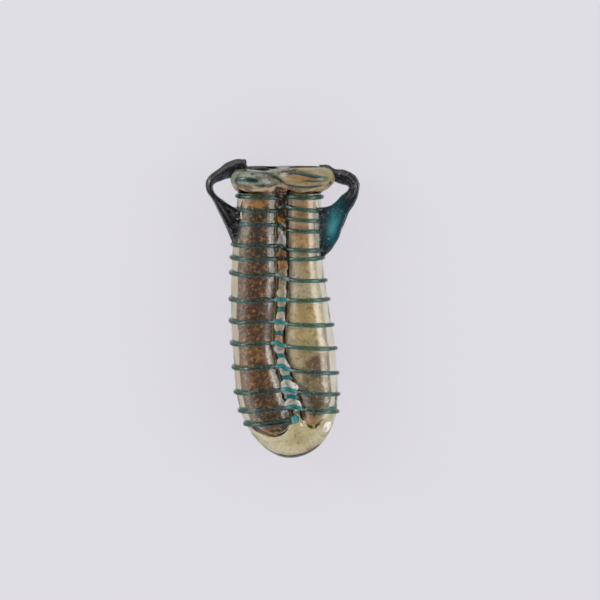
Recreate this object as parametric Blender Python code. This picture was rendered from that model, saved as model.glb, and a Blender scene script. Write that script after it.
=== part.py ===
"""Double kohl tube: a blown glass cosmetic vessel of two tubes side by side.

The vessel lies on its back, mouths towards +Y, front up. X runs across both tubes.
It is modelled in its own frame first: x across, y up the vessel from the tip of its
base, z towards the viewer of its front. Lengths are in metres.
"""

import math

import bpy
from mathutils import Vector

MM = 0.001

# Body: overall sizes
BODY_LENGTH = 117.0 * MM          # base tip to the crest of the rim
BODY_WIDTH = 42.4 * MM            # both tubes together at their widest
TUBE_DEPTH = 20.0 * MM            # front to back of each tube
NECK_DEPTH = 17.2 * MM            # front to back just under the rim
NECK_START = 72.0 * MM            # height where the tubes begin to thin towards the neck
FURROW_THICKNESS = 9.2 * MM       # glass left between the front and back furrows
BASE_ROUND_LEFT = 33.6 * MM       # height of the rounded base on the left side
BASE_ROUND_RIGHT = 24.0 * MM      # height of the rounded base on the right side
BASE_ROUND_DEPTH = 15.0 * MM      # height of the rounded base seen from the side
FURROW_END = 4.0 * MM             # height where the furrow has died out
FURROW_FULL = 22.0 * MM           # height where the furrow has its full depth

# Bores
WALL = 2.2 * MM
SEPTUM = 4.4 * MM
LEFT_FLOOR = 7.6 * MM             # height of the left bore's floor
RIGHT_FLOOR = 11.0 * MM           # height of the right bore's floor
FLOOR_ROUND = 9.0 * MM            # height over which a bore closes to its floor

# Rim
RIM_WIDTH = 41.6 * MM
RIM_DEPTH = 23.0 * MM
RIM_HEIGHT = 10.2 * MM            # crest to where the rim leaves the neck
RIM_CROWN = 4.6 * MM              # crest to the widest line of the rim
RIM_CREST_INSET = 4.6 * MM        # crest line inside the widest line
RIM_THICKNESS = 6.5 * MM          # widest line to the narrowest of the mouth
RIM_FURROW = 17.0 * MM            # thickness at the furrow, on the rim
RIM_FLANK = 1.8                   # how the rim's lower flank curves: 1 would be straight
MOUTH_FLARE = 2.7 * MM            # height of the rounding inside the mouth
RIM_DIP = 1.3 * MM                # how far the left mouth's front lip sags
RIM_DIP_TOWARDS = 125.0           # degrees from the right edge round the front
RIM_WORN_FLAT = 0.25 * MM         # worn off the back of the rim, where it lies

# Thread
THREAD_WIDTH = 1.75 * MM
THREAD_HEIGHT = 0.95 * MM
THREAD_CROWN = 1.0 * MM           # width of its rounded top
THREAD_DROP = 1.3                 # how much wider the drop at its start is, as a share
DROP_LIFT = 0.3 * MM              # the drop bridges the hollow where the furrow runs out
FURROW_BRIDGE = 0.5 * MM          # the taut thread stands off the bottom of the furrow

# Handles
LEFT_PAD_TURN = 9                 # turn of the thread, counted up, that the pad ends on
LEFT_REACH = 11.8 * MM            # loop beyond the wall
LEFT_PAD_DEPTH = 8.4 * MM
LEFT_STRAP_DEPTH = 5.0 * MM
RIGHT_PAD_TURN = 7
RIGHT_REACH = 15.2 * MM
RIGHT_PAD_DEPTH = 8.0 * MM
RIGHT_STRAP_DEPTH = 4.8 * MM

# Clearance between the applied glass and the body it lies on
GAP = 0.3 * MM

# Facets
AROUND = 44
BORE_AROUND = 18
BASE_RINGS = 13
WALL_RINGS = 13
THREAD_STEPS = 36                 # per turn
HANDLE_AROUND = 10
RIM_RINGS = (0.3, 0.6, 0.82, 1.0)         # shares of the way from the neck to the widest
CROWN_ANGLES = (30, 58, 80, 90, 100)      # degrees over the crown, past the crest line
FLARE_ANGLES = (0, 30, 60, 90)            # degrees round the inside of the mouth
FLOOR_RINGS = 5
BORE_RINGS = 8

# The outline of the body, free form. Each row is a height as a share of BODY_LENGTH, then
# the left edge, the right edge and the furrow as shares of BODY_WIDTH from the mouths' axis.
OUTLINE = (
    (0.000, -0.455, 0.519, 0.208),
    (0.144, -0.455, 0.519, 0.151),
    (0.228, -0.455, 0.517, 0.075),
    (0.318, -0.464, 0.505, 0.007),
    (0.407, -0.481, 0.483, -0.040),
    (0.521, -0.491, 0.434, -0.014),
    (0.675, -0.481, 0.377, 0.0),
    (0.814, -0.448, 0.363, -0.010),
    (0.914, -0.423, 0.359, 0.0),
)
TIP = 0.075                       # base tip, as a share of BODY_WIDTH from the same axis

# The thread's turns: its height at the left edge and then at the right edge, from the drop
# upwards, as shares of BODY_LENGTH. It is wound by hand, so the turns are uneven.
TURNS_LEFT = (0.120, 0.166, 0.230, 0.315, 0.398, 0.475, 0.550, 0.640, 0.692, 0.737,
              0.808, 0.856, 0.902)
TURNS_RIGHT = (0.162, 0.221, 0.294, 0.379, 0.460, 0.548, 0.613, 0.691, 0.718, 0.781,
               0.817, 0.851, 0.899)
THREAD_START = 0.144              # height of the drop, a share of BODY_LENGTH
THREAD_END = 0.912
LOW_TURNS_RISE = 0.017            # how far the lowest turns climb over the furrow
FURROW_STEP = 0.06                # turns before and after the furrow that it jumps across
THREAD_LEAD = 0.03                # turns of thread before the front furrow

# The handles' loops, from the pad to the broken tip. Each row is a section's inner edge and
# outer edge, both as (outwards share of the reach, upwards share of the height from foot to
# crest). Then comes its depth: 1 where it is as deep as the pad, 0.5 as deep as the strap,
# and less where it thins to the broken tip. The last value says what it is measured
# outwards from: 0 is the tube's wall at the pad and 1 is the edge of the rim.
LEFT_LOOP = (
    ((-0.42, 0.5), (-0.14, 0.02), 0.8, 0),
    ((-0.02, 0.475), (0.07, 0.01), 1, 0),
    ((0.24, 0.525), (0.36, 0.26), 0.9, 0),
    ((0.52, 0.605), (0.71, 0.545), 0.62, 0),
    ((0.669, 0.675), (0.899, 0.675), 0.5, 0.2),
    ((0.684, 0.74), (0.939, 0.765), 0.5, 0.4),
    ((0.568, 0.785), (0.808, 0.87), 0.5, 0.6),
    ((0.298, 0.83), (0.478, 0.97), 0.54, 0.8),
    ((-0.073, 0.87), (0.097, 1.065), 0.6, 1),
    ((-0.293, 0.93), (-0.203, 1.1), 0.62, 1),
    ((-0.553, 0.97), (-0.493, 1.1), 0.55, 1),
)
RIGHT_LOOP = (
    ((-0.42, 0.55), (-0.18, -0.06), 0.8, 0),
    ((0.02, 0.555), (0.05, 0.01), 1, 0),
    ((0.25, 0.58), (0.36, 0.15), 0.62, 0),
    ((0.4, 0.635), (0.56, 0.36), 0.5, 0),
    ((0.484, 0.69), (0.664, 0.49), 0.46, 0.1),
    ((0.579, 0.73), (0.799, 0.61), 0.46, 0.2),
    ((0.563, 0.765), (0.858, 0.76), 0.48, 0.4),
    ((0.467, 0.79), (0.727, 0.865), 0.5, 0.6),
    ((0.301, 0.805), (0.496, 0.935), 0.54, 0.8),
    ((0.075, 0.825), (0.205, 0.975), 0.58, 1),
    ((-0.105, 0.86), (-0.005, 0.985), 0.6, 1),
    ((-0.295, 0.93), (-0.195, 1.025), 0.5, 1),
    ((-0.415, 0.965), (-0.395, 1.03), 0.3, 1),
)
LOOP_SAMPLES = 2                  # sections made from each stretch of a loop
STRAP = 0.5                       # the depth in a loop's row that stands for the strap
PAD_MIDDLE = 0.25                 # where the reach is measured from, foot to crest
TURNS_UNDER_PADS = 6.0            # upper turns of the thread that the pads may lie over

NECK_TOP = BODY_LENGTH - RIM_HEIGHT
RIM_WIDEST = BODY_LENGTH - RIM_CROWN


def smooth_between(low, high, value):
    """0 below low, 1 above high, with an even slope at both ends."""
    share = min(max((value - low) / (high - low), 0.0), 1.0)
    return share * share * (3.0 - 2.0 * share)


def mix(first, second, share):
    return first + (second - first) * share


def curve_through(rows, at):
    """Read every column of rows at the first column's value, on a smooth cubic curve."""
    keys = [row[0] for row in rows]
    at = min(max(at, keys[0]), keys[-1])
    index = max(i for i in range(len(rows) - 1) if keys[i] <= at)
    span = keys[index + 1] - keys[index]
    share = (at - keys[index]) / span

    def slope(i, column):
        low = max(i - 1, 0)
        high = min(i + 1, len(rows) - 1)
        return (rows[high][column] - rows[low][column]) / (keys[high] - keys[low])

    values = []
    for column in range(1, len(rows[0])):
        start = rows[index][column]
        end = rows[index + 1][column]
        leave = slope(index, column) * span
        arrive = slope(index + 1, column) * span
        values.append(
            (2 * share**3 - 3 * share**2 + 1) * start
            + (share**3 - 2 * share**2 + share) * leave
            + (3 * share**2 - 2 * share**3) * end
            + (share**3 - share**2) * arrive
        )
    return values


def rounding(height, span):
    """Half-width share of a round end that is span high: 0 at its tip, 1 past it."""
    if height >= span:
        return 1.0
    return math.sqrt(max(1.0 - (1.0 - height / span) ** 2, 0.0))


def wall_sizes(height):
    """Left edge, right edge, furrow place, half depth, half furrow thickness and how much
    of the figure of eight is left, at a height from the base tip to the rim's widest."""
    left, right, furrow = (share * BODY_WIDTH
                           for share in curve_through(OUTLINE, height / BODY_LENGTH))
    tip = TIP * BODY_WIDTH
    left = tip + (left - tip) * rounding(height, BASE_ROUND_LEFT)
    right = tip + (right - tip) * rounding(height, BASE_ROUND_RIGHT)
    neck_share = smooth_between(NECK_START, NECK_TOP, height)
    depth = mix(TUBE_DEPTH, NECK_DEPTH, neck_share) / 2
    depth *= rounding(height, BASE_ROUND_DEPTH)
    furrow_half = FURROW_THICKNESS / 2
    if height > NECK_TOP:
        below = max(RIM_WIDEST - height, 0.0) / (RIM_WIDEST - NECK_TOP)
        share = 1.0 - below ** RIM_FLANK
        left = mix(left, -RIM_WIDTH / 2, share)
        right = mix(right, RIM_WIDTH / 2, share)
        depth = mix(depth, RIM_DEPTH / 2, share)
        furrow_half = mix(furrow_half, RIM_FURROW / 2, share)
    eight = smooth_between(FURROW_END, FURROW_FULL, height)
    return left, right, furrow, depth, furrow_half, eight


def section_point(turn, sizes):
    """A point of a level section: turn is 0 at the right edge and runs over the front."""
    left, right, furrow, depth, furrow_half, eight = sizes
    cosine = math.cos(turn)
    sine = math.sin(turn)
    reach = ((2 * abs(cosine)) ** 4 + (furrow_half / max(depth, MM)) ** 4) ** 0.25
    lobe = (right - furrow if cosine > 0 else furrow - left) / 2
    eight_x = furrow + lobe * reach * cosine
    eight_z = depth * reach * sine
    round_x = (left + right) / 2 + (right - left) / 2 * cosine
    round_z = depth * sine
    return mix(round_x, eight_x, eight), mix(round_z, eight_z, eight)


def wall_point(turn, height, lift=0.0):
    """A point on the outer wall, lifted off it along its own outward direction."""
    def surface(angle, level):
        x, z = section_point(angle, wall_sizes(level))
        return Vector((x, level, z))

    point = surface(turn, height)
    if lift == 0.0:
        return point
    step = 0.01
    along = surface(turn + step, height) - surface(turn - step, height)
    up = surface(turn, height + 0.5 * MM) - surface(turn, max(height - 0.5 * MM, 0.0))
    outward = up.cross(along)
    flat = Vector((along.z, 0.0, -along.x))
    if outward.dot(flat) < 0.0:
        outward.negate()
    return point + outward.normalized() * lift


def make_material(name, colour, roughness):
    material = bpy.data.materials.new(name)
    material.use_nodes = True
    shader = material.node_tree.nodes["Principled BSDF"]
    shader.inputs["Base Color"].default_value = (*colour, 1.0)
    shader.inputs["Roughness"].default_value = roughness
    shader.inputs["Metallic"].default_value = 0.0
    material.diffuse_color = (*colour, 1.0)
    return material


def loft(name, rings, pole=None):
    """A closed skin over rings of points, with flat ends, or a pole at its start."""
    around = len(rings[0])
    points = [point for ring in rings for point in ring]
    faces = []
    for level in range(len(rings) - 1):
        for i in range(around):
            j = (i + 1) % around
            faces.append((level * around + i, level * around + j,
                          (level + 1) * around + j, (level + 1) * around + i))
    last = (len(rings) - 1) * around
    if pole is None:
        faces.append(tuple(reversed(range(around))))
    else:
        points.append(pole)
        faces += [(len(points) - 1, (i + 1) % around, i) for i in range(around)]
    faces.append(tuple(range(last, last + around)))
    mesh = bpy.data.meshes.new(name)
    mesh.from_pydata([tuple(point) for point in points], [], faces)
    if signed_volume(mesh) < 0.0:
        mesh.flip_normals()
    mesh.update()
    thing = bpy.data.objects.new(name, mesh)
    bpy.context.scene.collection.objects.link(thing)
    return thing


def signed_volume(mesh):
    total = 0.0
    for face in mesh.polygons:
        corners = [mesh.vertices[i].co for i in face.vertices]
        for i in range(1, len(corners) - 1):
            total += corners[0].dot(corners[i].cross(corners[i + 1])) / 6.0
    return total


def hide_cutter(thing):
    thing.hide_render = True
    thing.display_type = "WIRE"
    return thing


def cut(thing, cutter):
    boolean = thing.modifiers.new("cut_" + cutter.name, "BOOLEAN")
    boolean.operation = "DIFFERENCE"
    boolean.solver = "EXACT"
    boolean.object = cutter


def body_levels():
    """Heights of the rings from just above the tip to the widest line of the rim."""
    base_top = BASE_ROUND_RIGHT
    levels = [base_top * (1.0 - math.cos(math.pi / 2 * i / BASE_RINGS))
              for i in range(1, BASE_RINGS + 1)]
    levels += [mix(base_top, NECK_TOP, i / WALL_RINGS) for i in range(1, WALL_RINGS + 1)]
    levels += [mix(NECK_TOP, RIM_WIDEST, share) for share in RIM_RINGS]
    return levels


def make_body_skin(name, lift):
    """The outer form of the body without its bores, grown by lift all over."""
    turns = [2 * math.pi * i / AROUND for i in range(AROUND)]
    rings = [[wall_point(turn, level, lift) for turn in turns] for level in body_levels()]
    left, right, furrow, depth, furrow_half, eight = wall_sizes(RIM_WIDEST)
    for angle in CROWN_ANGLES:
        tilt = math.radians(angle)
        inset = RIM_CREST_INSET - (RIM_CREST_INSET + lift) * math.cos(tilt)
        rise = (RIM_CROWN + lift) * math.sin(tilt)
        sizes = (left + inset, right - inset, furrow, depth - inset,
                 furrow_half - inset, eight)
        ring = []
        for turn in turns:
            x, z = section_point(turn, sizes)
            front_left = max(0.0, math.cos(turn - math.radians(RIM_DIP_TOWARDS)))
            sag = RIM_DIP * front_left**2 * math.sin(min(tilt, math.pi / 2))
            ring.append(Vector((x, RIM_WIDEST + rise - sag, z)))
        rings.append(ring)
    tip = Vector((TIP * BODY_WIDTH, -lift, 0.0))
    return loft(name, rings, tip)


def bore_ring(side, height, widen=0.0):
    """One level ring of a bore. Side is -1 for the left tube and 1 for the right."""
    left, right, furrow, depth, furrow_half, eight = wall_sizes(min(height, NECK_TOP))
    outer = WALL
    share = smooth_between(NECK_TOP, BODY_LENGTH - MOUTH_FLARE, height)
    edge = (left if side < 0 else right) - side * outer
    mouth_edge = side * (RIM_WIDTH / 2 - RIM_THICKNESS)
    edge = mix(edge, mouth_edge, share) + side * widen
    inner = furrow + side * (SEPTUM / 2 - min(widen, SEPTUM / 2 - GAP))
    half_depth = mix(depth - outer, RIM_DEPTH / 2 - RIM_THICKNESS, share) + widen
    floor = LEFT_FLOOR if side < 0 else RIGHT_FLOOR
    close = rounding(height - floor, FLOOR_ROUND)
    centre = (edge + inner) / 2
    half_width = abs(edge - inner) / 2 * close
    half_depth *= close
    return [Vector((centre + half_width * math.cos(2 * math.pi * i / BORE_AROUND), height,
                    half_depth * math.sin(2 * math.pi * i / BORE_AROUND)))
            for i in range(BORE_AROUND)]


def make_bore(name, side):
    """The hollow of one tube with the rounded lip at its mouth, as a cutter."""
    floor = LEFT_FLOOR if side < 0 else RIGHT_FLOOR
    levels = [floor + FLOOR_ROUND * (1.0 - math.cos(math.pi / 2 * i / FLOOR_RINGS))
              for i in range(1, FLOOR_RINGS + 1)]
    straight = levels[-1]
    levels += [mix(straight, NECK_TOP, i / BORE_RINGS) for i in range(1, BORE_RINGS + 1)]
    flare_start = BODY_LENGTH - MOUTH_FLARE
    levels.append(mix(NECK_TOP, flare_start, 0.5))
    rings = [bore_ring(side, level) for level in levels]
    flare_width = RIM_THICKNESS - RIM_CREST_INSET
    for angle in FLARE_ANGLES:
        tilt = math.radians(angle)
        widen = flare_width * (1.0 - math.cos(tilt))
        rings.append(bore_ring(side, flare_start + MOUTH_FLARE * math.sin(tilt), widen))
    top = [point + Vector((0.0, RIM_CROWN, 0.0)) for point in rings[-1]]
    rings.append(top)
    low_left, low_right, low_furrow = wall_sizes(floor + 1 * MM)[:3]
    low_edge = (low_left if side < 0 else low_right) - side * WALL
    pole = Vector(((low_edge + low_furrow + side * SEPTUM / 2) / 2, floor, 0.0))
    return hide_cutter(loft(name, rings, pole))


def make_body(glass):
    body = make_body_skin("tube_body", 0.0)
    cut(body, make_bore("left_bore_cutter", -1))
    cut(body, make_bore("right_bore_cutter", 1))
    rest = -(RIM_DEPTH / 2 - RIM_WORN_FLAT)
    corners = [(-BODY_WIDTH, -BODY_WIDTH), (BODY_WIDTH, -BODY_WIDTH),
               (BODY_WIDTH, BODY_WIDTH), (-BODY_WIDTH, BODY_WIDTH)]
    rings = [[Vector((x, BODY_LENGTH + y, level)) for x, y in corners]
             for level in (rest - BODY_WIDTH, rest)]
    cut(body, hide_cutter(loft("worn_flat_cutter", rings)))
    finish(body, glass)
    return body


def thread_place(turn_count):
    """Angle and height of the thread after a count of turns from the drop."""
    rows = [(-THREAD_LEAD, THREAD_START)]
    for i, (left_share, right_share) in enumerate(zip(TURNS_LEFT, TURNS_RIGHT)):
        following = TURNS_LEFT[i + 1] if i + 1 < len(TURNS_LEFT) else THREAD_END
        climb = LOW_TURNS_RISE * max(0.0, 1.0 - i / 6)
        rows.append((i + 0.25, left_share))
        rows.append((i + 0.5, (left_share + right_share) / 2))
        rows.append((i + 0.75, right_share))
        rows.append((i + 1.0 - FURROW_STEP, mix(right_share, following, 0.35) + climb))
        rows.append((i + 1.0 + FURROW_STEP, mix(right_share, following, 0.92) + climb))
    share = curve_through(rows, turn_count)[0]
    return math.pi / 2 + 2 * math.pi * turn_count, share * BODY_LENGTH


def make_thread(name, first, last, grow):
    """The applied thread from one turn count to another, its section grown by grow."""
    steps = round((last - first) * THREAD_STEPS)
    rings = []
    for i in range(steps + 1):
        count = first + (last - first) * i / steps
        turn, height = thread_place(count)
        drop = math.exp(-((count + THREAD_LEAD) / 0.12) ** 2)
        swell = 1.0 + THREAD_DROP * drop
        if i == 0 and first < 0.0:
            swell *= 0.55
        in_furrow = abs(math.sin(turn)) ** 24
        clear = GAP + DROP_LIFT * drop + FURROW_BRIDGE * in_furrow
        step = 0.004
        ahead_turn, ahead_height = thread_place(min(count + step, last))
        back_turn, back_height = thread_place(max(count - step, first))
        ahead = wall_point(ahead_turn, ahead_height)
        back = wall_point(back_turn, back_height)
        base = wall_point(turn, height)
        outward = (wall_point(turn, height, MM) - base).normalized()
        across = outward.cross((ahead - back).normalized()).normalized()
        bottom = base + outward * (clear - 2 * grow)
        top = base + outward * (clear + THREAD_HEIGHT * swell + grow)
        half = THREAD_WIDTH / 2 * swell + grow
        crown = THREAD_CROWN / 2 * swell + grow
        rings.append([bottom - across * half, bottom + across * half,
                      top + across * crown, top - across * crown])
    return loft(name, rings)


def make_trail(glass):
    trail = make_thread("spiral_trail", -THREAD_LEAD, len(TURNS_LEFT) - 0.02, 0.0)
    finish(trail, glass)
    return trail


def loop_rings(loop, side, rise, reach, pad_depth, strap_depth):
    """Sections of a handle, each from its inner edge to its outer edge."""
    foot_low = BODY_LENGTH - rise
    left, right = wall_sizes(mix(foot_low, BODY_LENGTH, PAD_MIDDLE))[:2]
    wall_edge = left if side < 0 else right
    rim_edge = side * RIM_WIDTH / 2
    rows = [(i, *inner, *outer, depth, by_rim)
            for i, (inner, outer, depth, by_rim) in enumerate(loop)]
    count = (len(loop) - 1) * LOOP_SAMPLES
    rings = []
    for i in range(count + 1):
        in_x, in_y, out_x, out_y, depth, by_rim = curve_through(rows, i / LOOP_SAMPLES)
        edge = mix(wall_edge, rim_edge, by_rim)
        inner = Vector((edge + side * in_x * reach, foot_low + in_y * rise, 0.0))
        outer = Vector((edge + side * out_x * reach, foot_low + out_y * rise, 0.0))
        half_depth = mix(strap_depth, pad_depth, smooth_between(STRAP, 1.0, depth)) / 2
        half_depth *= min(depth / STRAP, 1.0)
        ring = []
        for j in range(HANDLE_AROUND):
            turn = 2 * math.pi * j / HANDLE_AROUND
            point = (inner + outer) / 2 + (outer - inner) / 2 * math.cos(turn)
            point.z = half_depth * math.sin(turn)
            ring.append(point)
        rings.append(ring)
    return rings


def make_handle(name, side, sizes, cutters, glass):
    """A handle trimmed to lie on the wall, the rim and the threads under its pad."""
    loop, rise, reach, pad_depth, strap_depth = sizes
    handle = loft(name, loop_rings(loop, side, rise, reach, pad_depth, strap_depth))
    for cutter in cutters:
        cut(handle, cutter)
    finish(handle, glass)
    return handle


def finish(thing, glass):
    thing.data.materials.append(glass)
    thing.data.shade_smooth()
    thing.data.set_sharp_from_angle(angle=math.radians(40))


def lay_down(things):
    """Parent the pieces to one empty and stand it so that the lowest point is at z = 0."""
    bpy.context.view_layer.update()
    graph = bpy.context.evaluated_depsgraph_get()
    points = []
    for thing in things:
        mesh = thing.evaluated_get(graph).to_mesh()
        points += [vertex.co.copy() for vertex in mesh.vertices]
    low = Vector(min(point[axis] for point in points) for axis in range(3))
    high = Vector(max(point[axis] for point in points) for axis in range(3))
    frame = bpy.data.objects.new("vessel_frame", None)
    bpy.context.scene.collection.objects.link(frame)
    frame.location = (-(low.x + high.x) / 2, -(low.y + high.y) / 2, -low.z)
    for thing in bpy.data.objects:
        if thing is not frame:
            thing.parent = frame


def main():
    for thing in list(bpy.data.objects):
        bpy.data.objects.remove(thing, do_unlink=True)
    body_glass = make_material("blown pale green glass", (0.55, 0.56, 0.36), 0.12)
    trail_glass = make_material("applied blue-green glass", (0.01, 0.12, 0.13), 0.15)
    body = make_body(body_glass)
    trail = make_trail(trail_glass)
    skin_cutter = hide_cutter(make_body_skin("skin_cutter", GAP))
    pad_turns = len(TURNS_LEFT) - TURNS_UNDER_PADS
    thread_cutter = hide_cutter(
        make_thread("thread_cutter", pad_turns, len(TURNS_LEFT) - 0.02, GAP))
    cutters = (thread_cutter, skin_cutter)
    left_rise = BODY_LENGTH * (1.0 - TURNS_LEFT[LEFT_PAD_TURN])
    right_rise = BODY_LENGTH * (1.0 - TURNS_RIGHT[RIGHT_PAD_TURN])
    left_sizes = (LEFT_LOOP, left_rise, LEFT_REACH, LEFT_PAD_DEPTH, LEFT_STRAP_DEPTH)
    right_sizes = (RIGHT_LOOP, right_rise, RIGHT_REACH, RIGHT_PAD_DEPTH, RIGHT_STRAP_DEPTH)
    left_handle = make_handle("left_handle", -1, left_sizes, cutters, trail_glass)
    right_handle = make_handle("right_handle", 1, right_sizes, cutters, trail_glass)
    lay_down((body, trail, left_handle, right_handle))


main()
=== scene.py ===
"""The looks of a double kohl tube, a small vessel of weathered glass.

The vessel lies on its back, mouths towards +Y. Forms are first worked out in the vessel's
own frame: x across both tubes, y up from the tip of the base, z towards the front.
"""

import math

import bpy
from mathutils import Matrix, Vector, noise


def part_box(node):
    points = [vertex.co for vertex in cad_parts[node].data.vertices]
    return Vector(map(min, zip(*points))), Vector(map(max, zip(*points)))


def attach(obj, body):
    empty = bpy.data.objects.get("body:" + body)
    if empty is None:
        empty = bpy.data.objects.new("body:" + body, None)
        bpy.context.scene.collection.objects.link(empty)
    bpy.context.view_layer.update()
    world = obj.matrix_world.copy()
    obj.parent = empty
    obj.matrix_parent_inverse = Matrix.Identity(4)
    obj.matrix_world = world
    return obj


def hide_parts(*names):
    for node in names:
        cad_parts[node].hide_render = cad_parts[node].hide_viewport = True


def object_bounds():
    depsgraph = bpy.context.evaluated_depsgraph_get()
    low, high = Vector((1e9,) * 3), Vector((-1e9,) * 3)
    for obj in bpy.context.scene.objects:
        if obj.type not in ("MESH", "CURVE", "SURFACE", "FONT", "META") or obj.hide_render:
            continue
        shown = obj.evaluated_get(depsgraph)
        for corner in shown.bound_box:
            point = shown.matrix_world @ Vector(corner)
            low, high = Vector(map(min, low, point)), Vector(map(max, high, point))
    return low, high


bl_info = {
    "name": "Double Kohl Tube",
    "version": (1, 0, 0),
    "blender": (4, 5, 0),
    "location": "View3D > Sidebar > Kohl Tube",
    "description": "Dresses the packed double kohl tube in weathered glass",
    "category": "Add Mesh",
}

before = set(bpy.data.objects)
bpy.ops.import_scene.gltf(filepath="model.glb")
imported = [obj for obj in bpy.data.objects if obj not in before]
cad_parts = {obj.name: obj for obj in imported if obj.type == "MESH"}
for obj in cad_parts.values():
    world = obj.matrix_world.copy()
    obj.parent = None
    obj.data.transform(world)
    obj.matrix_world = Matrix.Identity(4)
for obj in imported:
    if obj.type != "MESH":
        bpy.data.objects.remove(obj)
CAD_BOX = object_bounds()

MM = 0.001

# Body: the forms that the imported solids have
BODY_LENGTH = 117.0 * MM
BODY_WIDTH = 42.4 * MM
TUBE_DEPTH = 20.0 * MM
NECK_DEPTH = 17.2 * MM
NECK_START = 72.0 * MM
FURROW_THICKNESS = 9.2 * MM
BASE_ROUND_LEFT = 33.6 * MM
BASE_ROUND_RIGHT = 24.0 * MM
BASE_ROUND_DEPTH = 15.0 * MM
FURROW_END = 4.0 * MM
FURROW_FULL = 22.0 * MM
WALL = 2.2 * MM
SEPTUM = 4.4 * MM
LEFT_FLOOR = 7.6 * MM
RIGHT_FLOOR = 11.0 * MM
LEFT_FLOOR_ROUND = 9.0 * MM
RIGHT_FLOOR_ROUND = 6.5 * MM
FLOOR_SHIFT = 2.0 * MM            # the right bore's end leans this far towards the furrow
RIM_WIDTH = 41.6 * MM
RIM_DEPTH = 23.0 * MM
RIM_HEIGHT = 10.2 * MM
RIM_CROWN = 4.6 * MM
RIM_CREST_INSET = 4.6 * MM
RIM_THICKNESS = 6.5 * MM
RIM_FURROW = 17.0 * MM
RIM_FLANK = 1.8
MOUTH_FLARE = 2.7 * MM
RIM_DIP = 1.3 * MM
RIM_DIP_TOWARDS = 125.0           # degrees from the right edge round the front
RIM_WORN_FLAT = 0.25 * MM
MOUTH_OVER = 0.5 * MM             # the mouths' rounding runs on past the crest, cut off by it
RIM_CREASE_SHIFT = 4.8 * MM       # how far left the crease between the lips is at the crest
NECK_TOP = BODY_LENGTH - RIM_HEIGHT
RIM_WIDEST = BODY_LENGTH - RIM_CROWN

# The outline: height as a share of the length, then the left edge, the right edge and the
# furrow as shares of the width from the mouths' axis
OUTLINE = (
    (0.000, -0.455, 0.519, 0.208),
    (0.144, -0.455, 0.519, 0.151),
    (0.228, -0.455, 0.517, 0.075),
    (0.318, -0.464, 0.505, 0.007),
    (0.407, -0.481, 0.483, -0.040),
    (0.521, -0.491, 0.434, -0.014),
    (0.675, -0.481, 0.377, 0.0),
    (0.814, -0.448, 0.363, -0.010),
    (0.914, -0.423, 0.359, 0.0),
)
TIP = 0.075

# The thread's turns: heights at the left and at the right edge, as shares of the length
TURNS_LEFT = (0.120, 0.166, 0.230, 0.315, 0.398, 0.475, 0.550, 0.640, 0.692, 0.737,
              0.808, 0.856, 0.902)
TURNS_RIGHT = (0.162, 0.221, 0.294, 0.379, 0.460, 0.548, 0.613, 0.691, 0.718, 0.781,
               0.817, 0.851, 0.899)
THREAD_START = 0.144
THREAD_END = 0.912
LOW_TURNS_RISE = 0.017
FURROW_STEP = 0.06
THREAD_LEAD = 0.03
THREAD_DROP = 1.3
FURROW_BRIDGE = 0.5 * MM
TURNS = len(TURNS_LEFT) - 0.02

# The handles' loops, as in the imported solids
LEFT_PAD_TURN = 9
LEFT_REACH = 11.8 * MM
LEFT_PAD_DEPTH = 8.4 * MM
LEFT_STRAP_DEPTH = 5.0 * MM
RIGHT_PAD_TURN = 7
RIGHT_REACH = 15.2 * MM
RIGHT_PAD_DEPTH = 8.0 * MM
RIGHT_STRAP_DEPTH = 4.8 * MM
STRAP = 0.5
PAD_MIDDLE = 0.25
LEFT_LOOP = (
    ((-0.42, 0.5), (-0.14, 0.02), 0.8, 0),
    ((-0.02, 0.475), (0.07, 0.01), 1, 0),
    ((0.24, 0.525), (0.36, 0.26), 0.9, 0),
    ((0.52, 0.605), (0.71, 0.545), 0.62, 0),
    ((0.669, 0.675), (0.899, 0.675), 0.5, 0.2),
    ((0.684, 0.74), (0.939, 0.765), 0.5, 0.4),
    ((0.568, 0.785), (0.808, 0.87), 0.5, 0.6),
    ((0.298, 0.83), (0.478, 0.97), 0.54, 0.8),
    ((-0.073, 0.87), (0.097, 1.065), 0.6, 1),
    ((-0.293, 0.93), (-0.203, 1.1), 0.62, 1),
    ((-0.553, 0.97), (-0.493, 1.1), 0.55, 1),
)
RIGHT_LOOP = (
    ((-0.42, 0.55), (-0.18, -0.06), 0.8, 0),
    ((0.02, 0.555), (0.05, 0.01), 1, 0),
    ((0.25, 0.58), (0.36, 0.15), 0.62, 0),
    ((0.4, 0.635), (0.56, 0.36), 0.5, 0),
    ((0.484, 0.69), (0.664, 0.49), 0.46, 0.1),
    ((0.579, 0.73), (0.799, 0.61), 0.46, 0.2),
    ((0.563, 0.765), (0.858, 0.76), 0.48, 0.4),
    ((0.467, 0.79), (0.727, 0.865), 0.5, 0.6),
    ((0.301, 0.805), (0.496, 0.935), 0.54, 0.8),
    ((0.075, 0.825), (0.205, 0.975), 0.58, 1),
    ((-0.105, 0.86), (-0.005, 0.985), 0.6, 1),
    ((-0.295, 0.93), (-0.195, 1.025), 0.5, 1),
    ((-0.415, 0.965), (-0.395, 1.03), 0.3, 1),
)

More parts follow.
